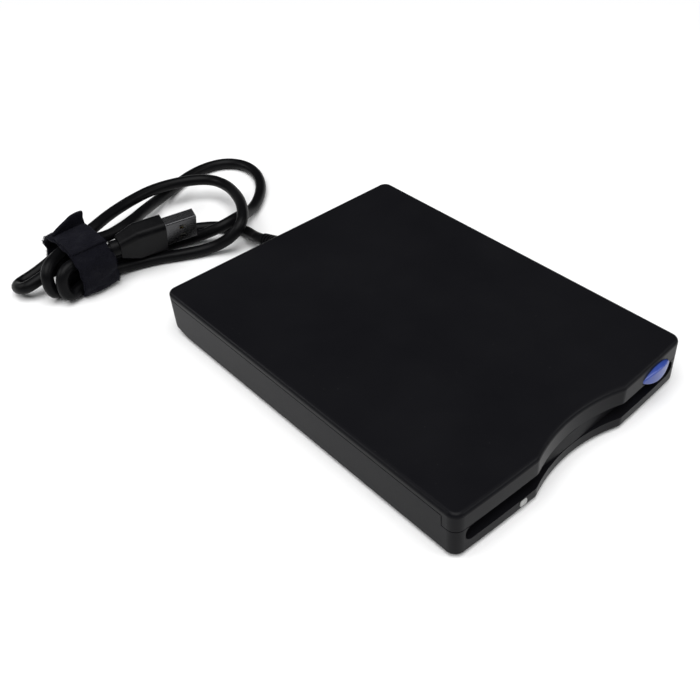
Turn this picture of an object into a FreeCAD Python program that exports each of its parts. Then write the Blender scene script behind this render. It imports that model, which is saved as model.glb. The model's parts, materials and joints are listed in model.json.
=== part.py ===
import FreeCAD, Part
import math
import os
from FreeCAD import Vector

# Portable 3.5 inch diskette drive with a tied-up cord.
# Millimetres. +X right, -Y front (slot side), +Z up.
# The origin is on the supporting surface, under the centre of the drive without its cord.

os.makedirs("parts", exist_ok=True)

# Case
case_width = 104.0
case_depth = 142.0              # rear face to the two crests of the front
case_height = 17.0              # underside to top
wall = 1.6
corner_radius = 3.5
top_edge_radius = 1.5
bottom_edge_radius = 1.0
seam_drop = 2.8                 # top face down to the seam between the shells
seam_gap = 0.3
front_arc_radius = 800.0        # gentle bulge of the whole front
scallop_radius = 56.0           # finger scallop in the middle of the front
crest_spacing = 40.0            # distance between the two crests beside the scallop
crest_radius = 3.0
tuck_height = 9.5               # the rear face leans inwards below this height
tuck_depth = 2.4
tuck_knee_height = 2.4
tuck_length = 13.0              # sloped underside at the rear
lip_drop = 1.8                  # locating rim of the top cover below the seam
lip_thickness = 0.8
fit_gap = 0.15                  # sliding gap between moulded shells

# Disk and slot
disk_width = 90.0
disk_thickness = 3.3
disk_drop = 2.2                 # the carrier lowers the disk by this much
disk_gap = 0.2
slot_bottom = 4.2               # above the underside
slot_height = 6.0
slot_width = 96.4
slot_corner_radius = 2.8
slot_floor_depth = 6.0          # ledge behind the lower lip, measured from the crests
ledge_thickness = 1.2

# Dust door
door_width = 95.2
door_thickness = 1.0
door_gap = 0.25
door_axis_behind = 1.3          # hinge axis behind the door's front face
door_axis_above = 1.3           # hinge axis above the slot's upper edge
door_arm_width = 2.0
door_arm_radius = 0.8
door_pin_radius = 0.75
door_pin_length = 1.6
pin_clearance = 0.05            # radial running clearance of pins and shafts
hinge_rib_width = 1.5

# Eject button
button_x = 37.2
button_width = 15.6              # between the points of the almond, before they are rounded
button_height = 5.2
button_centre_height = 11.9     # above the underside
button_proud = 1.8
button_tip_radius = 1.0
button_edge_radius = 0.6
button_gap = 0.3
button_body_depth = 4.7
button_stem_width = 7.0
button_stem_height = 2.2
button_stem_length = 20.0

# Eject travel
eject_travel = 4.5

# Feet and case screws
foot_proud = 1.0
foot_radius = 4.0
foot_recess = 0.4
foot_inset_x = 10.0
foot_inset_front = 14.0
foot_inset_rear = 22.0
screw_radius = 1.1
screw_head_radius = 2.1
screw_head_height = 0.8
screw_head_recess = 0.1
screw_length = 11.0
boss_radius = 2.1
boss_inset_x = 3.6
boss_inset_front = 15.9
boss_inset_rear = 6.2
rear_boss_further_in = 4.4
rear_screw_lift = 1.6          # the underside slopes up at the rear screws
boss_split_height = 7.0         # where upper and lower screw bosses meet

# Light
light_x = -25.5
light_width = 3.0
light_height = 2.4
light_centre_height = 2.6       # above the underside
light_proud = 0.3
light_corner_radius = 0.8
light_board_width = 11.0
light_board_length = 6.4
light_board_thickness = 0.6

# Mechanism frame
sheet = 0.8                     # pressed steel frame
thin_sheet = 0.6                # carrier and slide plate
frame_gap = 0.3                 # between nested sheet parts
board_thickness = 0.6
floor_gap = 0.2
frame_front_back = 12.9         # frame front edge behind the crests
frame_length = 116.5
flange_start = 7.5              # behind the frame's front edge
flange_length = 74.0
flange_height = 9.2
frame_post_radius = 2.5
frame_screw_x = 36.0
frame_screw_front = 8.0         # behind the frame's front edge
frame_screw_rear = 8.0          # before the frame's rear edge
small_screw_radius = 1.0
small_head_radius = 1.8
small_head_height = 0.8
hold_down_width = 6.0
hold_down_reach = 3.2
hold_down_front = 12.5          # first hold-down tab behind the frame's front edge
hold_down_spacing = 42.0

# Spindle motor
spindle_behind = 50.4           # spindle axis behind the crests
stator_radius = 24.0
stator_core_width = 2.4
stator_gap = 0.4
rotor_radius = 15.3
rotor_wall = 3.3
pole_count = 12
pole_width = 2.6
coil_width = 5.0
shaft_radius = 1.5
bearing_radius = 3.2
hub_radius = 12.0
chuck_radius = 11.4
drive_pin_radius = 1.1
drive_pin_offset = 9.0
motor_height = 1.5

# Heads and their drive
track_zero_radius = 39.5
head_travel = 14.8              # 80 tracks of 0.1875 mm
carriage_half_width = 8.0
head_radius = 2.3
head_lift = 4.3                 # the upper head is raised by this much with no disk
arm_length = 29.0
arm_width = 14.0
arm_thickness = 0.9
arm_overhang = 6.0
arm_pin_radius = 0.9
ear_thickness = 2.0
block_length = 11.0
rod_radius = 1.1
rod_left_x = -15.0
rod_right_x = 24.0
rod_behind = 98.4               # rod front end behind the crests
rod_length = 29.5
clip_thickness = 1.6
clip_half_width = 2.2
bushing_length = 8.5
screw_axis_x = 16.0
screw_axis_height = 7.9         # above the underside
lead_screw_radius = 1.4
nut_half_width = 2.6
nut_length = 5.5
stepper_radius = 4.8
stepper_length = 10.6
stepper_flange = 0.8
stepper_behind_rods = 23.6      # mounting face behind the front ends of the rods

# Carrier pins
pin_radius = 0.8
pin_slot_gap = 0.1
pin_front = 15.5                # behind the frame's front edge
pin_spacing = 54.0
pin_height = 8.2                # above the underside, carrier raised
carrier_lip = 3.6
carrier_notch_start = 20.5      # behind the spindle, clear of the lowered head at its innermost track
carrier_notch_half_width = 9.0
slide_front_back = 4.5          # slide plate front edge behind the frame's front edge
slide_length = 71.0
slide_side_start = 8.0          # the sides begin behind the slide plate's front edge
notch_half_width = 12.6         # opening in the plates for the head arm
notch_front = 51.5              # notch behind the slide plate's front edge
window_half_width = 26.0
window_length = 30.0

# Shutter lever
lever_x = -36.0
lever_behind_spindle = 50.0
lever_length = 24.0
lever_tip_radius = 1.5
lever_hub_radius = 3.0
lever_thickness = 1.0
lever_post_radius = 1.4
lever_rest_angle = -60.0

# Springs
slide_spring_radius = 0.95
slide_spring_x = 49.05
slide_spring_length = 30.0
hook_width = 1.6

# Circuit boards
left_board_width = 25.0
right_board_width = 17.5
board_length = 24.0
board_edge_gap = 2.2            # from the frame's side edge
board_rear_gap = 1.8            # from the frame's rear edge
board_lift = 0.8
main_board_thickness = 1.0
ribbon_thickness = 0.4
ribbon_width = 8.0

# Cord
cord_diameter = 4.6
relief_length = 13.0
relief_base_radius = 3.5
relief_tip_radius = 2.8
relief_flange_radius = 4.5
relief_flange = 1.2
relief_ribs = 5
relief_groove = 0.8
relief_x = -1.0
relief_droop = 14.0             # degrees, the boot hangs a little
relief_height = 10.5            # above the underside
tail_radius = 1.5

# Plug
plug_tip = (-16.6, 109.0, 12.9)
plug_turn = -11.0               # degrees, direction of the plug seen from above
plug_roll = 19.5                # degrees, the upper edge leans forwards
shell_width = 12.0
shell_thickness = 4.5
shell_length = 12.8
shell_wall = 0.3
plug_width = 15.0
plug_thickness = 8.0
plug_length = 18.0
plug_corner_radius = 2.2
neck_length = 3.0
neck_radius = 3.1
tongue_thickness = 1.9
tongue_width = 11.0
tongue_length = 11.6

# Strap
strap_front = 110.0
strap_rear = 139.8
strap_left = -65.8
strap_right = -51.2
strap_height = 18.4
strap_thickness = 1.1
strap_tab_width = 7.5
strap_tab_length = 8.0
strap_tab_lean = 38.0           # degrees from upright

least_radius = 0.3

# Worked-out places
underside = foot_proud
top = underside + case_height
floor_top = underside + wall
ceiling = top - wall
seam = top - seam_drop
button_sag = (math.sqrt(front_arc_radius ** 2 - (crest_spacing / 2) ** 2)
              - math.sqrt(front_arc_radius ** 2 - button_x ** 2))
button_beyond = button_proud - button_sag
rear = (case_depth + button_beyond) / 2
crest = rear - case_depth
arc_centre = crest + math.sqrt(front_arc_radius ** 2 - (crest_spacing / 2) ** 2)
scallop_centre = crest - math.sqrt(scallop_radius ** 2 - (crest_spacing / 2) ** 2)
scallop_bottom = scallop_centre + scallop_radius
half_width = case_width / 2
slot_low = underside + slot_bottom
slot_top = slot_low + slot_height
fascia_back = crest + corner_radius + 3.0
door_front = scallop_bottom
door_axis_y = door_front + door_axis_behind
door_axis_z = slot_top + door_axis_above
frame_low = floor_top + floor_gap + board_thickness
frame_top = frame_low + sheet
frame_front = crest + frame_front_back
frame_rear = frame_front + frame_length
disk_top = slot_top - frame_gap
disk_low = disk_top - disk_thickness
carrier_low = disk_low - disk_gap - thin_sheet
carrier_plate = disk_top + 0.1
carrier_half = disk_width / 2 + frame_gap + thin_sheet
slide_half = carrier_half + frame_gap + thin_sheet
frame_half = slide_half + frame_gap + thin_sheet
slide_plate_low = carrier_plate + thin_sheet + 0.4
slide_plate_top = slide_plate_low + thin_sheet
flange_top = frame_top + flange_height
spindle_y = crest + spindle_behind
head_y = spindle_y + track_zero_radius
media_loaded = disk_low + disk_thickness / 2 - disk_drop
pivot_y = head_y + arm_length
pivot_z = underside + 8.6
arm_angle = math.degrees(math.asin(head_lift / arm_length))
pin_z = underside + pin_height
slide_front = frame_front + slide_front_back
slide_rear = slide_front + slide_length
rod_front = crest + rod_behind
rod_z = frame_top + 1.8
screw_axis_z = underside + screw_axis_height
lever_y = spindle_y + lever_behind_spindle
lever_low = disk_low + 0.1
cord_radius = cord_diameter / 2


def box(x0, x1, y0, y1, z0, z1):
    return Part.makeBox(x1 - x0, y1 - y0, z1 - z0, Vector(x0, y0, z0))


def cylinder(radius, start, along, length):
    return Part.makeCylinder(radius, length, Vector(*start), Vector(*along))


def fuse(shapes):
    whole = shapes[0]
    if len(shapes) > 1:
        whole = shapes[0].fuse(shapes[1:])
    return whole.removeSplitter()


def both_sides(shape):
    return [shape, shape.mirror(Vector(0, 0, 0), Vector(1, 0, 0))]


def line(a, b):
    return Part.LineSegment(a, b).toShape()


def arc(a, b, c):
    return Part.Arc(a, b, c).toShape()


def rounded_wire(points, radii, closed=True):
    """Straight runs through the points, joined by tangent arcs of the given radii."""
    count = len(points)
    corners = []
    for i in range(count):
        here = points[i]
        radius = radii[i]
        if radius == 0:
            corners.append((here, None, here))
            continue
        back = (points[i - 1] - here).normalize()
        ahead = (points[(i + 1) % count] - here).normalize()
        half = back.getAngle(ahead) / 2
        run = radius / math.tan(half)
        middle = (back + ahead).normalize()
        bulge = here + middle * (radius / math.sin(half) - radius)
        corners.append((here + back * run, bulge, here + ahead * run))
    edges = []
    for i in range(count):
        start, bulge, end = corners[i]
        if bulge is not None:
            edges.append(arc(start, bulge, end))
        if closed or i < count - 1:
            following = corners[(i + 1) % count][0]
            edges.append(line(end, following))
    return Part.Wire(edges)


def prism(wire, along):
    return Part.Face(wire).extrude(Vector(*along))


def plate(points, radius, z0, z1):
    """Horizontal plate with the same radius at every corner."""
    places = [Vector(x, y, z0) for x, y in points]
    return prism(rounded_wire(places, [radius] * len(places)), (0, 0, z1 - z0))


def front_view(x0, x1, z0, z1, radius, y0, y1):
    """Rounded rectangle seen from the front, as a bar along Y."""
    places = [Vector(x0, y0, z0), Vector(x1, y0, z0), Vector(x1, y0, z1), Vector(x0, y0, z1)]
    return prism(rounded_wire(places, [radius] * 4), (0, y1 - y0, 0))


def face_y(x):
    """Front face of the case beside the scallop."""
    return arc_centre - math.sqrt(front_arc_radius ** 2 - x ** 2)


def case_outline(inset, z):
    """Plan outline of the case, drawn in by an inset, at one height."""
    side = half_width - inset
    back = rear - inset
    bulge = front_arc_radius - inset
    dip = scallop_radius + inset
    crest_r = max(crest_radius - inset, least_radius)
    corner_r = max(corner_radius - inset, least_radius)
    arc_mid = Vector(0, arc_centre, z)
    dip_mid = Vector(0, scallop_centre, z)
    gap = arc_centre - scallop_centre
    crest_y = scallop_centre + ((dip + crest_r) ** 2 - (bulge - crest_r) ** 2 + gap ** 2) / (2 * gap)
    crest_x = math.sqrt((dip + crest_r) ** 2 - (crest_y - scallop_centre) ** 2)
    crest_mid = Vector(crest_x, crest_y, z)
    corner_x = side - corner_r
    corner_y = arc_centre - math.sqrt((bulge - corner_r) ** 2 - corner_x ** 2)
    corner_mid = Vector(corner_x, corner_y, z)
    dip_end = dip_mid + (crest_mid - dip_mid) * (dip / (dip + crest_r))
    front_start = arc_mid + (crest_mid - arc_mid) * (bulge / (bulge - crest_r))
    front_end = arc_mid + (corner_mid - arc_mid) * (bulge / (bulge - corner_r))
    crest_out = ((dip_end - crest_mid).normalize() + (front_start - crest_mid).normalize()).normalize()
    front_out = (front_start + front_end - arc_mid * 2).normalize()
    corner_out = ((front_end - corner_mid).normalize() + Vector(1, 0, 0)).normalize()
    rear_mid = Vector(corner_x, back - corner_r, z)
    rear_out = Vector(1, 1, 0).normalize()
    right = [
        arc(dip_end, crest_mid + crest_out * crest_r, front_start),
        arc(front_start, arc_mid + front_out * bulge, front_end),
        arc(front_end, corner_mid + corner_out * corner_r, Vector(side, corner_y, z)),
        line(Vector(side, corner_y, z), Vector(side, back - corner_r, z)),
        arc(Vector(side, back - corner_r, z), rear_mid + rear_out * corner_r, Vector(corner_x, back, z)),
    ]
    left = [edge.mirror(Vector(0, 0, 0), Vector(1, 0, 0)) for edge in right]
    scallop = arc(dip_end, Vector(0, scallop_centre + dip, z), Vector(-dip_end.x, dip_end.y, z))
    back_line = line(Vector(corner_x, back, z), Vector(-corner_x, back, z))
    ordered = Part.__sortEdges__(right + [back_line] + left + [scallop])
    return Part.Wire(ordered)


def case_block(inset, z0, z1):
    return prism(case_outline(inset, z0), (0, 0, z1 - z0))


def rear_profile(inset):
    """Side view of the case with its tucked-up rear, as a bar across the case."""
    low = underside + inset
    back = rear - inset
    points = [
        Vector(-case_width, -case_depth, low),
        Vector(-case_width, back - tuck_length, low),
        Vector(-case_width, back - tuck_depth, low + tuck_knee_height),
        Vector(-case_width, back, low + tuck_height),
        Vector(-case_width, back, top + case_height),
        Vector(-case_width, -case_depth, top + case_height),
    ]
    radii = [0, 14.0, max(3.0 - inset, 1.0), 8.0, 0, 0]
    return prism(rounded_wire(points, radii), (2 * case_width, 0, 0))


def edges_at(shape, z):
    """Edges that lie flat at one height."""
    flat = []
    for edge in shape.Edges:
        bounds = edge.BoundBox
        if abs(bounds.ZMin - z) < 1e-4 and abs(bounds.ZMax - z) < 1e-4:
            flat.append(edge)
    return flat


def slot_opening():
    half = slot_width / 2
    return front_view(-half, half, slot_low, slot_top, slot_corner_radius, crest - 5, fascia_back)


def button_outline(gap, y0, y1):
    """Almond of two arcs with rounded points, seen from the front, grown by a gap."""
    half = button_width / 2
    rise = button_height / 2
    radius = (half ** 2 + rise ** 2) / (2 * rise)
    middle = underside + button_centre_height
    upper = cylinder(radius + gap, (button_x, y0, middle + rise - radius), (0, 1, 0), y1 - y0)
    lower = cylinder(radius + gap, (button_x, y0, middle - rise + radius), (0, 1, 0), y1 - y0)
    almond = upper.common(lower)
    points = []
    for edge in almond.Edges:
        if abs(edge.BoundBox.YLength - (y1 - y0)) < 0.01 and abs(edge.BoundBox.Center.z - middle) < 0.01:
            points.append(edge)
    return almond.makeFillet(button_tip_radius + gap, points)


def button_notch():
    return button_outline(button_gap, crest - 5, fascia_back)


def boss_places():
    front_y = crest + boss_inset_front
    rear_y = rear - boss_inset_rear
    side = half_width - boss_inset_x
    rear_side = side - rear_boss_further_in
    return [(-side, front_y, 0), (side, front_y, 0),
            (-rear_side, rear_y, rear_screw_lift), (rear_side, rear_y, rear_screw_lift)]


def foot_places():
    side = half_width - foot_inset_x
    front_y = crest + foot_inset_front
    rear_y = rear - foot_inset_rear
    return {
        "front_left": (-side, front_y),
        "front_right": (side, front_y),
        "rear_left": (-side, rear_y),
        "rear_right": (side, rear_y),
    }


def frame_screw_places():
    front_y = frame_front + frame_screw_front
    rear_y = frame_rear - frame_screw_rear
    places = []
    for y in (front_y, rear_y):
        places.append((-frame_screw_x, y))
        places.append((frame_screw_x, y))
    return places


def top_cover():
    lid = case_block(0, seam + seam_gap / 2, top)
    fascia = case_block(0, slot_top, seam + seam_gap)
    fascia = fascia.common(box(-case_width, case_width, crest - 5, fascia_back, 0, top))
    outer = fuse([lid, fascia])
    outer = outer.makeFillet(top_edge_radius, edges_at(outer, top))
    cavity = case_block(wall, 0, ceiling)
    shell = outer.cut(cavity)
    rim = case_block(wall + fit_gap, seam - lip_drop, ceiling + 0.2)
    rim = rim.cut(case_block(wall + fit_gap + lip_thickness, 0, top))
    rim = rim.common(box(-case_width, case_width, fascia_back + 4, rear + 5, 0, top))
    ribs = []
    rib_inner = door_width / 2 + fit_gap
    rib = front_view(rib_inner, rib_inner + hinge_rib_width, slot_top + 0.2, ceiling + 0.2, 0.2,
                     door_axis_y - 1.9, door_axis_y + 1.9)
    bore = cylinder(door_pin_radius + pin_clearance, (rib_inner - 1, door_axis_y, door_axis_z),
                    (1, 0, 0), hinge_rib_width + 2)
    ribs.extend(both_sides(rib.cut(bore)))
    bosses = []
    pilots = []
    for x, y, lift in boss_places():
        bosses.append(cylinder(boss_radius, (x, y, boss_split_height + fit_gap), (0, 0, 1),
                               ceiling + 0.2 - boss_split_height - fit_gap))
        pilots.append(cylinder(screw_radius, (x, y, 0), (0, 0, 1), ceiling - 1.5))
    inside = case_block(wall + fit_gap, 0, ceiling + 0.2)
    posts = fuse(bosses).common(inside)
    cover = fuse([shell, rim, posts] + ribs)
    for pilot in pilots:
        cover = cover.cut(pilot)
    relief_room = cylinder(relief_flange_radius + 0.3, (relief_x, rear - 8, underside + relief_height),
                           (0, 1, 0), 8 - wall)
    return cover.cut(button_notch()).cut(relief_room)


def bottom_case():
    outer = case_block(0, underside, seam - seam_gap / 2)
    outer = outer.makeFillet(bottom_edge_radius, edges_at(outer, underside))
    outer = outer.common(rear_profile(0))
    cavity = case_block(wall, floor_top, top).common(rear_profile(wall))
    tray = outer.cut(cavity)
    tray = tray.cut(box(-case_width, case_width, crest - 5, fascia_back + seam_gap, slot_top - seam_gap, top))
    tray = tray.cut(slot_opening())
    inside = case_block(wall / 2, underside + 0.2, seam).common(rear_profile(wall / 2))
    ledge_half = slot_width / 2
    ledge = box(-ledge_half, ledge_half, crest, crest + slot_floor_depth, slot_low - ledge_thickness, slot_low)
    cheek = box(ledge_half, ledge_half + 1.4, crest, crest + slot_floor_depth, floor_top - 0.2,
                slot_top - seam_gap)
    extras = [ledge] + both_sides(cheek)
    for x, y, lift in boss_places():
        extras.append(cylinder(boss_radius, (x, y, underside + 0.3), (0, 0, 1),
                               boss_split_height - underside - 0.3))
    for x, y in frame_screw_places():
        extras.append(cylinder(frame_post_radius, (x, y, floor_top - 0.2), (0, 0, 1),
                               frame_low - floor_top + 0.2))
    fittings = fuse(extras).common(inside)
    tray = fuse([tray, fittings])
    for x, y, lift in boss_places():
        tray = tray.cut(cylinder(screw_radius + 0.1, (x, y, 0), (0, 0, 1), top))
        tray = tray.cut(cylinder(screw_head_radius + 0.2, (x, y, 0), (0, 0, 1),
                                 underside + lift + screw_head_recess + screw_head_height))
    for x, y in foot_places().values():
        tray = tray.cut(cylinder(foot_radius + 0.05, (x, y, 0), (0, 0, 1), underside + foot_recess))
    for x, y in frame_screw_places():
        tray = tray.cut(cylinder(small_screw_radius, (x, y, underside + 0.7),
                                 (0, 0, 1), top))
    lamp_z = underside + light_centre_height
    tray = tray.cut(front_view(light_x - light_width / 2, light_x + light_width / 2,
                               lamp_z - light_height / 2, lamp_z + light_height / 2,
                               light_corner_radius, crest - 3, crest + 4))
    gland = cylinder(relief_base_radius, (relief_x, rear - 10, underside + relief_height), (0, 1, 0), 20)
    seat = cylinder(relief_flange_radius + 0.1, (relief_x, rear - 10, underside + relief_height), (0, 1, 0),
                    10 - wall - 0.4)
    return tray.cut(gland).cut(seat)


def rubber_foot(x, y):
    foot = cylinder(foot_radius, (x, y, 0), (0, 0, 1), underside + foot_recess)
    return foot.makeChamfer(0.25, edges_at(foot, 0))


def case_screws():
    screws = []
    for x, y, lift in boss_places():
        head_low = underside + lift + screw_head_recess
        shank = cylinder(screw_radius, (x, y, head_low), (0, 0, 1), screw_length)
        head = cylinder(screw_head_radius, (x, y, head_low), (0, 0, 1), screw_head_height)
        drive = box(x - 1.2, x + 1.2, y - 0.2, y + 0.2, head_low - 1, head_low + 0.6)
        cross = box(x - 0.2, x + 0.2, y - 1.2, y + 1.2, head_low - 1, head_low + 0.6)
        screws.append(fuse([shank, head]).cut(drive).cut(cross))
    return Part.Compound(screws)


def dust_door():
    half = door_width / 2
    low = slot_low + door_gap
    high = slot_top - door_gap
    panel = box(-half, half, door_front, door_front + door_thickness, low, high)
    bevel = box(-half, half, door_front + 0.4, door_front + door_thickness, high - 0.5, high)
    panel = panel.cut(bevel)
    arm_in = half - door_arm_width
    arm_low = high - 2.0
    arm_wire = rounded_wire([
        Vector(arm_in, door_front + door_thickness - 0.2, arm_low),
        Vector(arm_in, door_axis_y + door_arm_radius, door_axis_z - 1.4),
        Vector(arm_in, door_axis_y + door_arm_radius, door_axis_z + door_arm_radius),
        Vector(arm_in, door_axis_y - door_arm_radius, door_axis_z + door_arm_radius),
        Vector(arm_in, door_axis_y - door_arm_radius, high),
    ], [0, 0.2, 0.7, 0.7, 0])
    arm = prism(arm_wire, (door_arm_width, 0, 0))
    pin = cylinder(door_pin_radius, (arm_in - 3.6, door_axis_y, door_axis_z), (1, 0, 0),
                   door_arm_width + door_pin_length + 3.6)
    door = fuse([panel] + both_sides(arm) + both_sides(pin))
    rib = box(-half + 6, half - 6, door_front + door_thickness, door_front + door_thickness + 0.5,
              low + 0.4, low + 1.0)
    return fuse([door, rib])


def door_spring():
    """Closing spring round the inner end of the left hinge pin, under the top cover."""
    x0 = -door_width / 2 + door_arm_width + 0.3
    coil = cylinder(1.35, (x0, door_axis_y, door_axis_z), (1, 0, 0), 3.2)
    coil = coil.cut(cylinder(0.95, (x0 - 1, door_axis_y, door_axis_z), (1, 0, 0), 6))
    leg = cylinder(0.2, (x0 + 2.9, door_axis_y + 0.3, door_axis_z + 1.0), (0, 0, 1),
                   ceiling - door_axis_z - 1.0)
    return fuse([coil, leg])


def eject_button():
    tip = face_y(button_x) - button_proud
    half = button_width / 2
    body = button_outline(0, tip - 1, tip + button_body_depth)
    bulge_radius = (half ** 2 + button_proud ** 2) / (2 * button_proud)
    bulge = cylinder(bulge_radius, (button_x, tip + bulge_radius, 0), (0, 0, 1), top)
    body = body.common(bulge)
    front = []
    for edge in body.Edges:
        if edge.BoundBox.YMax < tip + button_proud + 0.3 and edge.BoundBox.YMin < tip + button_proud - 0.1:
            front.append(edge)
    body = body.makeFillet(button_edge_radius, front)
    stem = box(button_x - button_stem_width / 2, button_x + button_stem_width / 2,
               tip + button_body_depth - 0.5, tip + button_body_depth + button_stem_length,
               slide_plate_top, slide_plate_top + button_stem_height)
    return fuse([body, stem])


def led_lens():
    middle = underside + light_centre_height
    front = face_y(light_x) - light_proud
    lens = front_view(light_x - light_width / 2 + 0.02, light_x + light_width / 2 - 0.02,
                      middle - light_height / 2 + 0.02, middle + light_height / 2 - 0.02,
                      light_corner_radius, front, crest + 4)
    rim = []
    for edge in lens.Edges:
        if edge.BoundBox.YMax < front + 1e-4:
            rim.append(edge)
    return lens.makeFillet(0.28, rim)


def led_board():
    return box(light_x - light_board_width / 2, light_x + light_board_width / 2,
               crest + 4.2, crest + 4.2 + light_board_length, floor_top, floor_top + light_board_thickness)


def led_lamp():
    low = floor_top + light_board_thickness
    return box(light_x - 1.5, light_x + 1.5, crest + 4.3, crest + 5.7, low,
               slot_low - ledge_thickness - 0.05)


def frame_windows():
    """Openings in the frame's base for the motor, the carriage and the stepper."""
    low = frame_low - 1
    depth = sheet + 2
    round_hole = cylinder(stator_radius + 1.5, (0, spindle_y, low), (0, 0, 1), depth)
    slot = box(-carriage_half_width - 1.5, carriage_half_width + 1.5, spindle_y, pivot_y + 7, low, low + depth)
    motor = box(screw_axis_x - stepper_radius - 0.6, screw_axis_x + stepper_radius + 0.6,
                rod_front + stepper_behind_rods + stepper_flange, frame_rear + 5, low, low + depth)
    return [round_hole, slot, motor]


def mech_frame():
    base = plate([(-frame_half, frame_front), (frame_half, frame_front),
                  (frame_half, frame_rear), (-frame_half, frame_rear)], 3.0, frame_low, frame_top)
    for window in frame_windows():
        base = base.cut(window)
    flange_front = frame_front + flange_start
    flange = box(frame_half - thin_sheet, frame_half, flange_front, flange_front + flange_length,
                 frame_low, flange_top)
    tabs = []
    tab_low = slide_plate_top + 0.2
    for step in range(2):
        start = frame_front + hold_down_front + step * hold_down_spacing
        tabs.append(box(frame_half - hold_down_reach, frame_half, start, start + hold_down_width,
                        tab_low, tab_low + thin_sheet))
    side = fuse([flange] + tabs)
    clearance = pin_radius + pin_slot_gap
    for step in range(2):
        y = frame_front + pin_front + step * pin_spacing
        side = side.cut(box(0, case_width, y - clearance, y + clearance,
                            pin_z - disk_drop - clearance, pin_z + clearance))
    hook_rear = slide_rear - 2.0
    side = side.cut(box(0, case_width, hook_rear - eject_travel - hook_width - 0.6, hook_rear + 0.6,
                        pin_z - 1.4, pin_z + 1.4))
    hook_y = hook_rear - slide_spring_length - hook_width
    side = fuse([side, box(frame_half - 0.2, slide_spring_x + 0.7, hook_y - hook_width, hook_y,
                           pin_z - 1.0, pin_z + 1.0)])
    frame = fuse([base] + both_sides(side))
    for x, y in frame_screw_places():
        frame = frame.cut(cylinder(small_screw_radius + 0.1, (x, y, 0), (0, 0, 1), top))
    for x, y, lift in boss_places():
        frame = frame.cut(cylinder(boss_radius + 0.4, (x, y, 0), (0, 0, 1), top))
    return frame


def frame_screws():
    screws = []
    for x, y in frame_screw_places():
        shank = cylinder(small_screw_radius, (x, y, underside + 0.8), (0, 0, 1), frame_top - underside - 0.8)
        head = cylinder(small_head_radius, (x, y, frame_top), (0, 0, 1), small_head_height)
        drive = box(x - 1.0, x + 1.0, y - 0.2, y + 0.2, frame_top + 0.4, top)
        screws.append(fuse([shank, head]).cut(drive))
    return Part.Compound(screws)


def motor_board():
    low = frame_low - board_thickness
    back = spindle_y + stator_radius
    board = box(-32, 32, spindle_y - 30, back, low, frame_low)
    board = board.cut(box(-carriage_half_width - 2, carriage_half_width + 2, spindle_y + 16.4, back + 1,
                          low - 1, frame_low + 1))
    return board.cut(cylinder(bearing_radius, (0, spindle_y, low - 1), (0, 0, 1), 5))


def pole_angles():
    angles = []
    for index in range(pole_count):
        angle = 360.0 * index / pole_count
        if abs(angle - 90) > 40:
            angles.append(angle)
    return angles


def stator_core():
    low = frame_low + 0.1
    high = low + motor_height
    centre = Vector(0, spindle_y, 0)
    ring = cylinder(stator_radius, (0, spindle_y, low), (0, 0, 1), motor_height)
    ring = ring.cut(cylinder(stator_radius - stator_core_width, (0, spindle_y, low), (0, 0, 1), motor_height))
    teeth = []
    for angle in pole_angles():
        tooth = box(rotor_radius + stator_gap, stator_radius - 0.5, spindle_y - pole_width / 2,
                    spindle_y + pole_width / 2, low + 0.3, high - 0.3)
        teeth.append(tooth.rotate(centre, Vector(0, 0, 1), angle))
    core = fuse([ring] + teeth)
    gate = carriage_half_width + 1.5
    return core.cut(box(-gate, gate, spindle_y + 10, spindle_y + 40, 0, top))


def motor_coils():
    low = frame_low + 0.1
    centre = Vector(0, spindle_y, 0)
    inner = rotor_radius + stator_gap + 0.7
    outer = stator_radius - stator_core_width - 0.3
    coils = []
    for angle in pole_angles():
        coil = plate([(inner, spindle_y - coil_width / 2), (outer, spindle_y - coil_width / 2),
                      (outer, spindle_y + coil_width / 2), (inner, spindle_y + coil_width / 2)],
                     0.9, low, low + motor_height)
        core = box(inner - 1, outer + 1, spindle_y - pole_width / 2, spindle_y + pole_width / 2,
                   low + 0.3, low + motor_height - 0.3)
        coils.append(coil.cut(core).rotate(centre, Vector(0, 0, 1), angle))
    return Part.Compound(coils)


def spindle_bearing():
    low = frame_low - board_thickness
    sleeve = cylinder(bearing_radius, (0, spindle_y, low), (0, 0, 1), board_thickness + 0.5)
    return sleeve.cut(cylinder(shaft_radius + pin_clearance, (0, spindle_y, 0), (0, 0, 1), top))


def rotor_magnet():
    low = frame_low + 0.2
    ring = cylinder(rotor_radius, (0, spindle_y, low), (0, 0, 1), motor_height - 0.2)
    return ring.cut(cylinder(rotor_radius - rotor_wall, (0, spindle_y, 0), (0, 0, 1), top))


def spindle_hub():
    low = frame_low + 0.7
    yoke_top = frame_low + motor_height + 0.1
    disc = cylinder(hub_radius, (0, spindle_y, low), (0, 0, 1), yoke_top - low)
    cap = cylinder(rotor_radius - 0.2, (0, spindle_y, yoke_top), (0, 0, 1), 0.3)
    chuck = cylinder(chuck_radius, (0, spindle_y, yoke_top + 0.3), (0, 0, 1), 0.3)
    shaft = cylinder(shaft_radius, (0, spindle_y, floor_top + floor_gap), (0, 0, 1),
                     low + 0.1 - floor_top - floor_gap)
    nose = cylinder(shaft_radius + 0.45, (0, spindle_y, yoke_top), (0, 0, 1), 1.2)
    nose = nose.makeChamfer(0.3, edges_at(nose, yoke_top + 1.2))
    drive = cylinder(drive_pin_radius, (drive_pin_offset, spindle_y, yoke_top), (0, 0, 1), 1.1)
    return fuse([disc, cap, chuck, shaft, nose, drive])


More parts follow.
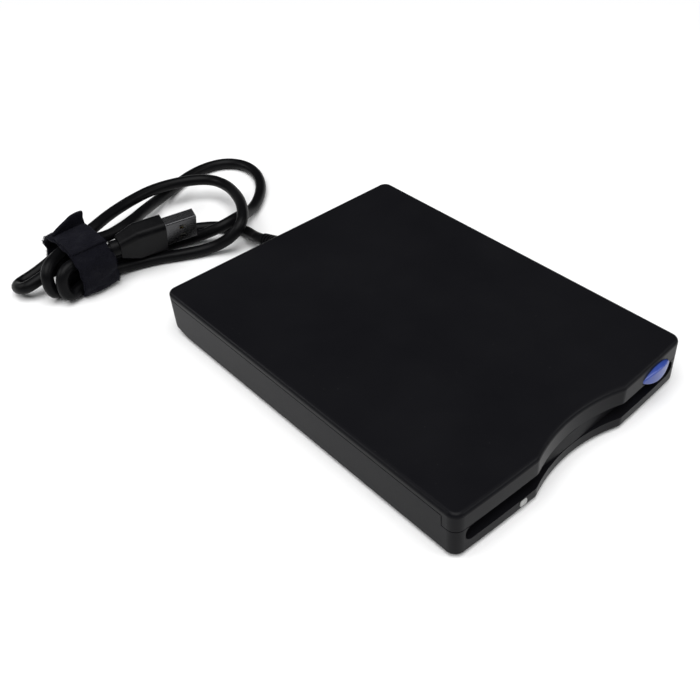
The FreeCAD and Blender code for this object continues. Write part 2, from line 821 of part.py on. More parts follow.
def head_carriage():
    half = carriage_half_width
    block_front = pivot_y - block_length / 2
    block_rear = pivot_y + block_length / 2
    deck = box(-half, half, head_y - 5.5, block_rear, frame_low - 0.4, frame_top + 0.3)
    deck = deck.makeFillet(1.5, [e for e in deck.Edges if abs(e.BoundBox.ZLength - sheet - 0.7) < 0.01])
    block = box(-half, half, block_front, block_rear, frame_low, pivot_z - arm_pin_radius - 1.2)
    ears = []
    for side in (-1, 1):
        inner = half - ear_thickness
        ear = box(inner, half, block_front + 2, block_rear - 2, frame_low, pivot_z + 1.6)
        if side < 0:
            ear = ear.mirror(Vector(0, 0, 0), Vector(1, 0, 0))
        ears.append(ear)
    bush_front = rod_front + clip_thickness + head_travel + 1.0
    bush_top = rod_z + rod_radius + 0.5
    bush = box(rod_left_x - 2.0, -half + 0.5, bush_front, bush_front + bushing_length, frame_top + 0.2,
               bush_top)
    fork = box(half - 0.5, rod_right_x + 2.0, bush_front, bush_front + nut_length, frame_top + 0.2,
               bush_top)
    nut = box(screw_axis_x - nut_half_width, screw_axis_x + nut_half_width, bush_front,
              bush_front + nut_length, bush_top - 0.2, screw_axis_z + nut_half_width)
    carriage = fuse([deck, block, bush, fork, nut] + ears)
    far = 200
    carriage = carriage.cut(cylinder(rod_radius + pin_clearance, (rod_left_x, -far, rod_z), (0, 1, 0), 2 * far))
    groove = box(rod_right_x - 4, rod_right_x + 3, bush_front - 1, bush_front + nut_length + 1,
                 rod_z - rod_radius - pin_clearance, rod_z + rod_radius + pin_clearance)
    carriage = carriage.cut(groove)
    carriage = carriage.cut(cylinder(lead_screw_radius + 0.1, (screw_axis_x, -far, screw_axis_z),
                                     (0, 1, 0), 2 * far))
    return carriage.cut(cylinder(arm_pin_radius, (-half - 1, pivot_y, pivot_z), (1, 0, 0), 2 * half + 2))


def lower_head():
    low = frame_top + 0.3
    high = media_loaded - 0.1
    gimbal = box(-3.2, 3.2, head_y - 3.2, head_y + 3.2, low, high - 0.9)
    button = cylinder(head_radius, (0, head_y, high - 0.9), (0, 0, 1), 0.9)
    button = button.makeChamfer(0.3, edges_at(button, high))
    return fuse([gimbal, button])


def raise_arm(shape):
    """The head arm stands raised while there is no disk in the drive."""
    return shape.rotate(Vector(0, pivot_y, pivot_z), Vector(1, 0, 0), -arm_angle)


def upper_arm():
    half = arm_width / 2
    tip = head_y - arm_overhang
    low = pivot_z
    inner = carriage_half_width - ear_thickness - 0.2
    outline = [(-half, tip + 6), (-4.0, tip), (4.0, tip), (half, tip + 6), (half, pivot_y - 8),
               (inner, pivot_y - 5), (inner, pivot_y), (-inner, pivot_y), (-inner, pivot_y - 5),
               (-half, pivot_y - 8)]
    arm = plate(outline, 0.6, low, low + arm_thickness)
    arm = arm.cut(plate([(-3.5, head_y + 7), (3.5, head_y + 7), (3.5, pivot_y - 8), (-3.5, pivot_y - 8)],
                        1.5, low - 1, low + 3))
    barrel = cylinder(arm_pin_radius + 1.0, (-inner, pivot_y, pivot_z), (1, 0, 0), 2 * inner)
    wing = box(-12, 12, head_y + 5, head_y + 8.5, low, low + arm_thickness)
    ridges = [box(side * (half - 0.5) - 0.5, side * (half - 0.5) + 0.5, tip + 6, pivot_y - 9, low,
                  low + arm_thickness + 0.6) for side in (-1, 1)]
    arm = fuse([arm, barrel, wing] + ridges)
    arm = arm.cut(cylinder(arm_pin_radius + pin_clearance, (-inner - 1, pivot_y, pivot_z), (1, 0, 0),
                           2 * inner + 2))
    return raise_arm(arm)


def upper_head():
    face = media_loaded + 0.05
    gimbal = box(-3.2, 3.2, head_y - 3.2, head_y + 3.2, face + 0.9, pivot_z)
    button = cylinder(head_radius, (0, head_y, face), (0, 0, 1), 0.9)
    button = button.makeChamfer(0.3, edges_at(button, face))
    return raise_arm(fuse([gimbal, button]))


def arm_pin():
    half = carriage_half_width
    return cylinder(arm_pin_radius, (-half, pivot_y, pivot_z), (1, 0, 0), 2 * half)


def guide_rod(x):
    rod = cylinder(rod_radius, (x, rod_front, rod_z), (0, 1, 0), rod_length)
    ends = [e for e in rod.Edges if e.BoundBox.YLength < 1e-4]
    return rod.makeChamfer(0.2, ends)


def rod_clips():
    clips = []
    for x in (rod_left_x, rod_right_x):
        for start in (rod_front, rod_front + rod_length - clip_thickness):
            clip = box(x - clip_half_width, x + clip_half_width, start, start + clip_thickness, frame_top,
                       rod_z + rod_radius + 0.3)
            foot = box(x - clip_half_width - 1.5, x + clip_half_width + 1.5, start, start + clip_thickness,
                       frame_top, frame_top + 0.3)
            clip = fuse([clip, foot])
            clips.append(clip.cut(cylinder(rod_radius, (x, start - 1, rod_z), (0, 1, 0), 4)))
    return Part.Compound(clips)


def stepper_motor():
    flange_y = rod_front + stepper_behind_rods
    body_y = flange_y + stepper_flange
    body = cylinder(stepper_radius, (screw_axis_x, body_y, screw_axis_z), (0, 1, 0), stepper_length)
    body = body.makeFillet(0.5, [body.Edges[0], body.Edges[2]])
    flange = box(screw_axis_x - 6.2, screw_axis_x + 6.2, flange_y, body_y, frame_top,
                 screw_axis_z + stepper_radius)
    motor = fuse([body, flange])
    motor = motor.cut(cylinder(lead_screw_radius + 0.1, (screw_axis_x, flange_y - 1, screw_axis_z),
                               (0, 1, 0), 3.0))
    return motor


def screw_bearing():
    block = box(screw_axis_x - 2.4, screw_axis_x + 2.4, rod_front, rod_front + 2.2, frame_top,
                screw_axis_z + 2.2)
    return block.cut(cylinder(1.05, (screw_axis_x, rod_front - 1, screw_axis_z), (0, 1, 0), 5))


def lead_screw():
    start = rod_front + 2.5
    end = rod_front + stepper_behind_rods + stepper_flange + 0.8
    screw = cylinder(lead_screw_radius, (screw_axis_x, start, screw_axis_z), (0, 1, 0), end - start)
    journal = cylinder(1.0, (screw_axis_x, rod_front, screw_axis_z), (0, 1, 0), 3.0)
    return fuse([screw, journal])


def disk_carrier():
    outer = carrier_half
    inner = outer - thin_sheet
    back = slide_rear + 8.0
    top_face = carrier_plate + thin_sheet
    lid = box(-outer, outer, frame_front, back, carrier_plate, top_face)
    cheek = box(inner, outer, frame_front, back, carrier_low, top_face)
    lip = box(outer - carrier_lip, outer, frame_front, back - 6, carrier_low, carrier_low + thin_sheet)
    carrier = fuse([lid] + both_sides(cheek) + both_sides(lip))
    notch_y = spindle_y + carrier_notch_start
    half = carrier_notch_half_width
    notch = plate([(-half, notch_y), (half, notch_y), (half, back + 5), (-half, back + 5)],
                  1.5, carrier_plate - 1, top_face + 1)
    window = plate([(-window_half_width, frame_front + 9), (window_half_width, frame_front + 9),
                    (window_half_width, frame_front + 9 + window_length),
                    (-window_half_width, frame_front + 9 + window_length)],
                   4.0, carrier_plate - 1, top_face + 1)
    return carrier.cut(notch).cut(window)


def carrier_pins():
    pins = []
    for step in range(2):
        y = frame_front + pin_front + step * pin_spacing
        pin = cylinder(pin_radius, (carrier_half, y, pin_z), (1, 0, 0), frame_half + 0.35 - carrier_half)
        pins.extend(both_sides(pin))
    return Part.Compound(pins)


def slide_plate():
    outer = slide_half
    low = frame_top + 1.4
    side_front = slide_front + slide_side_start
    lid = box(-outer, outer, side_front, slide_rear, slide_plate_low, slide_plate_top)
    tongue = box(-outer + 1.4, outer - 1.4, slide_front, side_front + 1, slide_plate_low, slide_plate_top)
    lid = fuse([lid, tongue])
    notch_y = slide_front + notch_front
    lid = lid.cut(plate([(-notch_half_width, notch_y), (notch_half_width, notch_y),
                         (notch_half_width, slide_rear + 5), (-notch_half_width, slide_rear + 5)],
                        2.0, slide_plate_low - 1, top))
    window_y = slide_front + 10
    lid = lid.cut(plate([(-window_half_width, window_y), (window_half_width, window_y),
                         (window_half_width, window_y + window_length),
                         (-window_half_width, window_y + window_length)], 4.0, slide_plate_low - 1, top))
    cheek = box(outer - thin_sheet, outer, side_front, slide_rear, low, slide_plate_top)
    clearance = pin_radius + pin_slot_gap
    for step in range(2):
        y = frame_front + pin_front + step * pin_spacing
        path = math.atan2(-disk_drop, eject_travel)
        length = math.hypot(disk_drop, eject_travel)
        slot = box(outer - 5, outer + 5, 0, length, -clearance, clearance)
        slot = fuse([slot, cylinder(clearance, (outer - 5, 0, 0), (1, 0, 0), 10),
                     cylinder(clearance, (outer - 5, length, 0), (1, 0, 0), 10)])
        slot.rotate(Vector(0, 0, 0), Vector(1, 0, 0), math.degrees(path))
        slot.translate(Vector(0, y, pin_z))
        cheek = cheek.cut(slot)
    hook_rear = slide_rear - 2.0
    hook = box(outer - thin_sheet, slide_spring_x + 0.7, hook_rear - hook_width, hook_rear,
               pin_z - pin_slot_gap, pin_z + 1.0)
    side = fuse([cheek, hook])
    return fuse([lid] + both_sides(side))


def slide_spring(side):
    rear_end = slide_rear - 2.0 - hook_width
    front_end = rear_end - slide_spring_length
    spring = cylinder(slide_spring_radius, (side * slide_spring_x, front_end, pin_z), (0, 1, 0),
                      slide_spring_length)
    return spring.cut(cylinder(slide_spring_radius - 0.3, (side * slide_spring_x, front_end - 1, pin_z),
                               (0, 1, 0), slide_spring_length + 2))


def shutter_lever():
    angle = math.radians(lever_rest_angle)
    tip_x = lever_x + lever_length * math.cos(angle)
    tip_y = lever_y + lever_length * math.sin(angle)
    hub = cylinder(lever_hub_radius, (lever_x, lever_y, lever_low), (0, 0, 1), lever_thickness)
    tip = cylinder(lever_tip_radius, (tip_x, tip_y, lever_low), (0, 0, 1), lever_thickness)
    bar = box(0, lever_length, -lever_tip_radius, lever_tip_radius, lever_low, lever_low + lever_thickness)
    bar.rotate(Vector(0, 0, 0), Vector(0, 0, 1), lever_rest_angle)
    bar.translate(Vector(lever_x, lever_y, 0))
    lever = fuse([hub, tip, bar])
    return lever.cut(cylinder(lever_post_radius + pin_clearance, (lever_x, lever_y, 0), (0, 0, 1), top))


def lever_post():
    shaft = cylinder(lever_post_radius, (lever_x, lever_y, frame_top), (0, 0, 1),
                     lever_low + lever_thickness + 0.3 - frame_top)
    flange = cylinder(lever_post_radius + 1.0, (lever_x, lever_y, frame_top), (0, 0, 1), 0.4)
    return fuse([shaft, flange])


def lever_spring():
    low = frame_top + 0.5
    height = lever_low - 0.15 - low
    coil = cylinder(2.5, (lever_x, lever_y, low), (0, 0, 1), height)
    coil = coil.cut(cylinder(1.9, (lever_x, lever_y, 0), (0, 0, 1), top))
    leg = box(lever_x - 7, lever_x - 2.2, lever_y - 0.3, lever_y + 0.3, low, low + 0.6)
    return fuse([coil, leg])


def board_span(side):
    """Corners of a circuit board at the left (-1) or right (+1) rear of the frame."""
    outer = frame_half - board_edge_gap
    y1 = frame_rear - board_rear_gap
    if side > 0:
        return outer - right_board_width, outer, y1 - board_length, y1
    return -outer, -outer + left_board_width, y1 - board_length, y1


def circuit_board(side):
    x0, x1, y0, y1 = board_span(side)
    low = frame_top + board_lift
    board = box(x0, x1, y0, y1, low, low + main_board_thickness)
    pads = []
    for x in (x0 + 2.5, x1 - 2.5):
        for y in (y0 + 2.5, y1 - 2.5):
            pads.append(cylinder(1.6, (x, y, frame_top), (0, 0, 1), board_lift))
    return fuse([board] + pads)


def board_chips():
    low = frame_top + board_lift + main_board_thickness
    chips = []
    for side in (-1, 1):
        x0, x1, y0, y1 = board_span(side)
        pair = [
            box(x1 - 12.5, x1 - 3, y0 + 4, y0 + 13, low, low + 1.4),
            box(x1 - 8, x1 - 3, y0 + 16.5, y0 + 21.5, low, low + 1.2),
            box(x1 - 16.5, x1 - 14.5, y0 + 6, y0 + 10, low, low + 0.9),
        ]
        if side < 0:
            pair = [chip.mirror(Vector((x0 + x1) / 2, 0, 0), Vector(1, 0, 0)) for chip in pair]
        chips.extend(pair)
    return Part.Compound(chips)


def board_socket(side):
    """Socket of the flat cable between the two boards."""
    x0, x1, y0, y1 = board_span(side)
    low = frame_top + board_lift + main_board_thickness
    inner = x0 if side > 0 else x1
    return box(min(inner + side * 0.6, inner + side * 4.6), max(inner + side * 0.6, inner + side * 4.6),
               y1 - 10.5, y1 - 1.5, low, low + 2.4)


def flat_cable():
    x_left = board_span(-1)[1] - 2.6
    x_right = board_span(1)[0] + 2.6
    y1 = frame_rear - board_rear_gap
    low = frame_top + board_lift + main_board_thickness + 2.4
    high = screw_axis_z + stepper_radius + 0.4
    outer = rounded_wire([Vector(x_left, y1 - 10, low), Vector(x_left, y1 - 10, high),
                          Vector(x_right, y1 - 10, high), Vector(x_right, y1 - 10, low)],
                         [0, 2.0, 2.0, 0], closed=False)
    start = Part.Face(Part.makePolygon([
        Vector(x_left - ribbon_thickness / 2, y1 - 10, low), Vector(x_left + ribbon_thickness / 2, y1 - 10, low),
        Vector(x_left + ribbon_thickness / 2, y1 - 10 + ribbon_width, low),
        Vector(x_left - ribbon_thickness / 2, y1 - 10 + ribbon_width, low),
        Vector(x_left - ribbon_thickness / 2, y1 - 10, low)]))
    return outer.makePipeShell([start.OuterWire], True, False)


def head_flex():
    """Flexible strip that loops from the carriage to the left board."""
    x0 = -carriage_half_width - 0.15
    x1 = x0 - 7.0
    x2 = board_span(-1)[1] - 1.0
    low = rod_z + rod_radius + 0.8
    height = 4.0
    bend_y = pivot_y + 6.5
    path = rounded_wire([Vector(x0, pivot_y - 1, low), Vector(x0, bend_y, low), Vector(x1, bend_y, low),
                         Vector(x1, pivot_y - 6, low), Vector(x2, pivot_y - 6, low)],
                        [0, 2.5, 2.5, 2.5, 0], closed=False)
    half = 0.1
    start = Part.makePolygon([Vector(x0 - half, pivot_y - 1, low), Vector(x0 + half, pivot_y - 1, low),
                              Vector(x0 + half, pivot_y - 1, low + height),
                              Vector(x0 - half, pivot_y - 1, low + height),
                              Vector(x0 - half, pivot_y - 1, low)])
    return path.makePipeShell([start], True, False)


def disk_switches():
    switches = []
    for x, y in ((-38, 6), (-38, 14), (38, 10)):
        body = box(x - 1.8, x + 1.8, spindle_y + y - 2.5, spindle_y + y + 2.5, frame_top, frame_top + 0.5)
        plunger = cylinder(0.6, (x, spindle_y + y, frame_top), (0, 0, 1), 1.1)
        switches.append(fuse([body, plunger]))
    return Part.Compound(switches)


def cord_socket():
    x0, x1, y0, y1 = board_span(-1)
    low = frame_top + board_lift + main_board_thickness
    return box(x1 - 12.5, x1 - 6.0, y1 - 5.0, y1 - 0.5, low, low + 3.2)


def pipe(points, radii, radius):
    """Round tube along straight runs and tangent arcs."""
    path = rounded_wire(points, radii, closed=False)
    direction = (points[1] - points[0]).normalize()
    ring = Part.Wire(Part.Circle(points[0], direction, radius).toShape())
    tube = path.makePipeShell([ring], True, False)
    return tube, path.Length


def bend_radii(points):
    """Each arc takes 0.45 of the shorter run beside its point."""
    radii = [0]
    for i in range(1, len(points) - 1):
        before = points[i] - points[i - 1]
        after = points[i + 1] - points[i]
        turn = before.getAngle(after)
        radii.append(0.45 * min(before.Length, after.Length) / math.tan(turn / 2))
    radii.append(0)
    return radii


def cord_tail():
    """Cord inside the case, from the strain relief to its socket on the left board."""
    x0, x1, y0, y1 = board_span(-1)
    z = underside + relief_height
    z_end = frame_top + board_lift + main_board_thickness + 1.6
    start = rear - wall - 0.4 - relief_flange
    socket_x = x1 - 9.25
    points = [Vector(relief_x, start, z), Vector(relief_x, start - 5.0, z),
              Vector(socket_x + 6, frame_rear + 3.0, z_end + 0.5), Vector(socket_x, frame_rear + 2.5, z_end),
              Vector(socket_x, y1 - 0.5, z_end)]
    tube, length = pipe(points, [0, 2.4, 4, 1.9, 0], tail_radius)
    return tube


# Route of the cord: from the strain relief over the floor and through the strap,
# a fold, the outer loop, back through the strap, a fold, the inner loop,
# back through the strap, a last fold and to the plug.
route_lead = [
    (0.6, 94.2, 4.7), (2.3, 103.2, 2.5), (0.6, 108.6, 2.4), (-4.2, 115.0, 2.4),
    (-11.5, 120.3, 2.4), (-22.0, 123.2, 2.4),
]
route_hank = [
    (-38.0, 125.8, 2.5), (-47.0, 127.2, 3.9), (-56.5, 127.2, 3.9), (-65.0, 122.6, 3.8),
    (-75.2, 117.2, 2.5), (-75.2, 118.4, 14.2), (-64.8, 125.4, 14.6), (-55.5, 129.2, 13.0),
    (-45.5, 128.0, 10.4), (-33.5, 130.6, 10.6), (-20.0, 141.5, 6.8), (-5.6, 151.8, 3.0),
    (3.5, 156.4, 2.4), (12.0, 159.2, 2.4), (20.4, 159.9, 2.4), (28.6, 157.6, 2.4),
    (33.6, 151.4, 2.4), (34.6, 143.2, 2.4), (32.2, 134.6, 2.4), (27.0, 126.0, 2.4),
    (18.8, 118.0, 2.4), (10.8, 112.5, 3.6), (3.0, 107.0, 7.8), (-5.6, 106.0, 7.6),
    (-12.4, 111.8, 3.6), (-21.0, 116.0, 2.4), (-34.0, 119.4, 2.4), (-46.0, 121.3, 3.0),
    (-54.0, 121.0, 4.6), (-60.4, 121.6, 9.0), (-66.5, 124.8, 9.2),
    (-73.2, 126.2, 7.2), (-82.2, 126.0, 5.4), (-82.4, 135.2, 2.5), (-73.0, 135.0, 4.0),
    (-59.0, 134.6, 9.4), (-47.9, 135.4, 11.6), (-37.1, 141.4, 11.0), (-24.0, 146.0, 10.4),
    (-11.8, 147.6, 10.2), (1.2, 144.8, 9.6), (10.0, 139.0, 9.2), (12.2, 129.4, 9.4),
    (8.2, 114.6, 11.6), (2.6, 102.8, 12.8), (-3.2, 96.0, 11.4), (-8.6, 97.4, 6.8),
    (-14.2, 101.8, 3.1), (-23.0, 106.2, 2.4), (-33.5, 112.2, 2.4), (-42.6, 115.4, 2.4),
    (-50.8, 116.0, 4.1), (-62.4, 115.4, 4.4), (-72.4, 112.4, 2.5), (-71.6, 113.8, 13.6),
    (-60.6, 115.9, 14.2),
]


def relief_axis():
    droop = math.radians(relief_droop)
    return Vector(0, math.cos(droop), -math.sin(droop))


def relief_point(along):
    return Vector(relief_x, rear, underside + relief_height) + relief_axis() * along


def plug_axis():
    angle = math.radians(plug_turn)
    return Vector(math.cos(angle), math.sin(angle), 0)


def plug_point(back):
    return Vector(*plug_tip) - plug_axis() * back


def lead_points():
    points = [relief_point(relief_length), relief_point(relief_length + cord_diameter)]
    points.extend(Vector(*p) for p in route_lead)
    following = Vector(*route_hank[0])
    points.append((points[-1] + following) * 0.5)
    return points


def hank_points():
    last = Vector(*route_lead[-1])
    points = [Vector(*p) for p in route_hank]
    points.insert(0, (last + points[0]) * 0.5)
    end = plug_point(shell_length + plug_length + neck_length)
    points.append(end - plug_axis() * 4.8)
    points.append(end)
    return points


def cord_piece(points, name):
    radii = bend_radii(points)
    tube, length = pipe(points, radii, cord_radius)
    section = math.pi * cord_radius ** 2
    turns = ", ".join("%.1f" % r for r in radii[1:-1])
    print("%s: length %.1f mm, volume %.1f, section x length %.1f" % (name, length, tube.Volume,
                                                                      section * length))
    print("%s: bend radii %s" % (name, turns))
    return tube


def least_gap(points):
    """Least clear distance between two stretches of the tube, from points along its path."""
    path = rounded_wire(points, bend_radii(points), closed=False)
    places = path.discretize(Number=int(path.Length))
    apart = int(4 * cord_diameter)
    least = path.Length
    for i, here in enumerate(places):
        for there in places[i + apart:]:
            least = min(least, here.distanceToPoint(there) - cord_diameter)
    print("least gap of the hank to itself: %.2f mm" % least)


def strain_relief():
    """Grommet in the rear wall with a ribbed, tapering boot."""
    y0 = rear - wall - 0.4
    z = underside + relief_height
    flange = cylinder(relief_flange_radius, (relief_x, y0 - relief_flange, z), (0, 1, 0), relief_flange)
    collar = cylinder(relief_base_radius - 0.15, (relief_x, y0 - relief_flange, z), (0, 1, 0),
                      rear - y0 + relief_flange + 0.3)
    base = relief_base_radius - 0.05
    taper = (base - relief_tip_radius) / relief_length
    root = -1.0
    profile = [(root, 0), (root, base - taper * root)]
    for index in range(relief_ribs):
        start = relief_length * (0.24 + 0.15 * index)
        end = start + relief_groove
        core = relief_tip_radius - 0.25
        profile.extend([(start, base - taper * start), (start, core), (end, core), (end, base - taper * end)])
    profile.extend([(relief_length, relief_tip_radius), (relief_length, 0), (root, 0)])
    outline = Part.makePolygon([Vector(0, along, radius) for along, radius in profile])
    boot = Part.Face(outline).revolve(Vector(0, 0, 0), Vector(0, 1, 0), 360)
    boot.rotate(Vector(0, 0, 0), Vector(1, 0, 0), -relief_droop)
    boot.translate(relief_point(0))
    behind = box(-case_width, case_width, rear + 0.05, rear + 2 * relief_length, -top, 2 * top)
    return fuse([flange, collar, boot.common(behind)])


def on_plug(shape):
    """Moves a shape built along +X from the plug's tip plane to the plug's place."""
    shape.rotate(Vector(0, 0, 0), Vector(1, 0, 0), plug_roll)
    shape.rotate(Vector(0, 0, 0), Vector(0, 0, 1), plug_turn)
    shape.translate(Vector(*plug_tip))
    return shape


def side_bar(x0, x1, width, thickness, radius):
    """Bar along X whose wide side stands upright."""
    places = [Vector(x0, -thickness / 2, -width / 2), Vector(x0, thickness / 2, -width / 2),
              Vector(x0, thickness / 2, width / 2), Vector(x0, -thickness / 2, width / 2)]
    if radius == 0:
        return prism(Part.makePolygon(places + [places[0]]), (x1 - x0, 0, 0))
    return prism(rounded_wire(places, [radius] * 4), (x1 - x0, 0, 0))


def plug_shell():
    outer = side_bar(-shell_length - 4, 0, shell_width, shell_thickness, 0.5)
    inner = side_bar(-shell_length - 5, 1, shell_width - 2 * shell_wall, shell_thickness - 2 * shell_wall, 0.2)
    shell = outer.cut(inner)
    for z in (-2.5, 2.5):
        shell = shell.cut(box(-7.0, -4.6, -5, 5, z - 1.1, z + 1.1))
    return on_plug(shell)


def plug_tongue():
    inner_half = shell_thickness / 2 - shell_wall
    tongue = box(-shell_length - 3.5, -shell_length + tongue_length, inner_half - tongue_thickness, inner_half,
                 -tongue_width / 2, tongue_width / 2)
    root = box(-shell_length - 3.5, -shell_length + 0.5, -inner_half, inner_half,
               -tongue_width / 2, tongue_width / 2)
    return on_plug(fuse([tongue, root]))


def plug_contacts():
    contact_y = shell_thickness / 2 - shell_wall - tongue_thickness
    contacts = []
    for offset, length in ((-3.5, 8.0), (-1.0, 7.0), (1.0, 7.0), (3.5, 8.0)):
        contacts.append(box(-shell_length + 1.0, -shell_length + 1.0 + length, contact_y - 0.15, contact_y,
                            offset - 0.5, offset + 0.5))
    return on_plug(Part.Compound(contacts))


def plug_body():
    front = -shell_length
    back = front - plug_length
    body = side_bar(back + 7, front, plug_width, plug_thickness, plug_corner_radius)
    wires = []
    for x, width, thickness, radius in ((back + 7, plug_width, plug_thickness, plug_corner_radius),
                                        (back, 9.0, 6.6, 2.0)):
        places = [Vector(x, -thickness / 2, -width / 2), Vector(x, thickness / 2, -width / 2),
                  Vector(x, thickness / 2, width / 2), Vector(x, -thickness / 2, width / 2)]
        wires.append(rounded_wire(places, [radius] * 4))
    taper = Part.makeLoft(wires, True, True)
    neck = cylinder(neck_radius, (back - neck_length, 0, 0), (1, 0, 0), neck_length + 1)
    whole = fuse([body, taper, neck])
    socket = side_bar(front - 4, front + 1, shell_width, shell_thickness, 0.5)
    return on_plug(whole.cut(socket))


def cable_strap():
    """Hook-and-loop band round the bundle, with its free end standing up."""
    front = strap_front
    back = strap_rear
    high = strap_height
    places = [(front + 1.4, 0), (back - 6.8, 0), (back, 5.5), (back, high - 5.9), (back - 6.3, high),
              (front + 3.5, high), (front, high - 3.9), (front, 5.0)]
    points = [Vector(strap_left, y, z) for y, z in places]
    outer = rounded_wire(points, [1.6, 5.0, 4.0, 4.0, 5.0, 2.0, 2.0, 1.6])
    inner = outer.makeOffset2D(-strap_thickness)
    along = (strap_right - strap_left, 0, 0)
    band = prism(outer, along).cut(prism(inner, along))
    fold_y = back - 8.0
    tab = box(strap_right - strap_tab_width, strap_right - 0.4, fold_y, fold_y + strap_thickness,
              high - 0.9, high + strap_tab_length)
    tab.rotate(Vector(0, fold_y, high), Vector(1, 0, 0), -strap_tab_lean)
    return fuse([band, tab])


def parts():
    """Every node by name."""
    made = {
        "top_cover": top_cover(),
        "bottom_case": bottom_case(),
        "case_screws": case_screws(),
        "dust_door": dust_door(),
        "door_spring": door_spring(),
        "eject_button": eject_button(),
        "led_lens": led_lens(),
        "led_board": led_board(),
        "led_lamp": led_lamp(),
        "mech_frame": mech_frame(),
        "frame_screws": frame_screws(),
        "motor_board": motor_board(),
        "stator_core": stator_core(),
        "motor_coils": motor_coils(),
        "spindle_bearing": spindle_bearing(),
        "rotor_magnet": rotor_magnet(),
        "spindle_hub": spindle_hub(),
        "head_carriage": head_carriage(),
        "lower_head": lower_head(),
        "upper_arm": upper_arm(),
        "upper_head": upper_head(),
        "arm_pin": arm_pin(),
        "guide_rod_left": guide_rod(rod_left_x),
        "guide_rod_right": guide_rod(rod_right_x),
        "rod_clips": rod_clips(),
        "stepper_motor": stepper_motor(),
        "screw_bearing": screw_bearing(),
        "lead_screw": lead_screw(),
        "disk_carrier": disk_carrier(),
        "carrier_pins": carrier_pins(),
        "slide_plate": slide_plate(),
        "slide_spring_left": slide_spring(-1),
        "slide_spring_right": slide_spring(1),
        "shutter_lever": shutter_lever(),
        "lever_post": lever_post(),
        "lever_spring": lever_spring(),
        "interface_board": circuit_board(-1),
        "drive_board": circuit_board(1),
        "board_chips": board_chips(),
        "cable_sockets": Part.Compound([board_socket(-1), board_socket(1)]),
        "flat_cable": flat_cable(),
        "head_flex": head_flex(),
        "disk_switches": disk_switches(),
        "cord_socket": cord_socket(),
        "cord_tail": cord_tail(),
        "strain_relief": strain_relief(),
        "cord_lead": cord_piece(lead_points(), "cord_lead"),
        "cord_hank": cord_piece(hank_points(), "cord_hank"),
        "cable_strap": cable_strap(),
        "plug_body": plug_body(),
        "plug_shell": plug_shell(),
        "plug_tongue": plug_tongue(),
        "plug_contacts": plug_contacts(),
    }
    for name, (x, y) in foot_places().items():
        made["foot_" + name] = rubber_foot(x, y)
    return made


least_gap(hank_points())
for node, shape in parts().items():
    shape.exportStep("parts/" + node + ".step")
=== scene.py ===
import bpy
import json
import math
import random
from mathutils import Matrix, Vector, noise


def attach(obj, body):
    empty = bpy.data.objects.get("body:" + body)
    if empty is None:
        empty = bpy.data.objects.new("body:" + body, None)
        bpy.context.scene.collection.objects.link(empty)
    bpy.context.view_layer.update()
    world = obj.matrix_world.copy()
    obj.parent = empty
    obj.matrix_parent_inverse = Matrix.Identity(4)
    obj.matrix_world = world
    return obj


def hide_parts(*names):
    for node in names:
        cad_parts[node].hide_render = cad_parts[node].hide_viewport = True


# Look of a portable 3.5 inch diskette drive with a tied-up cord.
# Blender's lengths are in metres. Named sizes and route points are in millimetres.

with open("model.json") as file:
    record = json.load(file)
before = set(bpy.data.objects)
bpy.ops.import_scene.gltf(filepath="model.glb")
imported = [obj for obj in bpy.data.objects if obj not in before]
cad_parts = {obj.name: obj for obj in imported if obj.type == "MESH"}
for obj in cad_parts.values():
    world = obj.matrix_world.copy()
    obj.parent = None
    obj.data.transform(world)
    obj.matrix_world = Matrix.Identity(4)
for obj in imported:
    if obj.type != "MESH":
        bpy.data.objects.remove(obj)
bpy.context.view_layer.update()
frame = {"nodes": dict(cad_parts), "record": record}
nodes = frame["nodes"]
mm = 0.001

# Camera
camera_azimuth = -42.52
camera_elevation = 40.27
camera_roll = -1.73
camera_place = Vector((-0.15729, -0.16832, 0.20112))    # metres
image_size = 700.0
focal_pixels = 885.0
centre_pixel = (409.6, 341.8)
sensor_width = 36.0

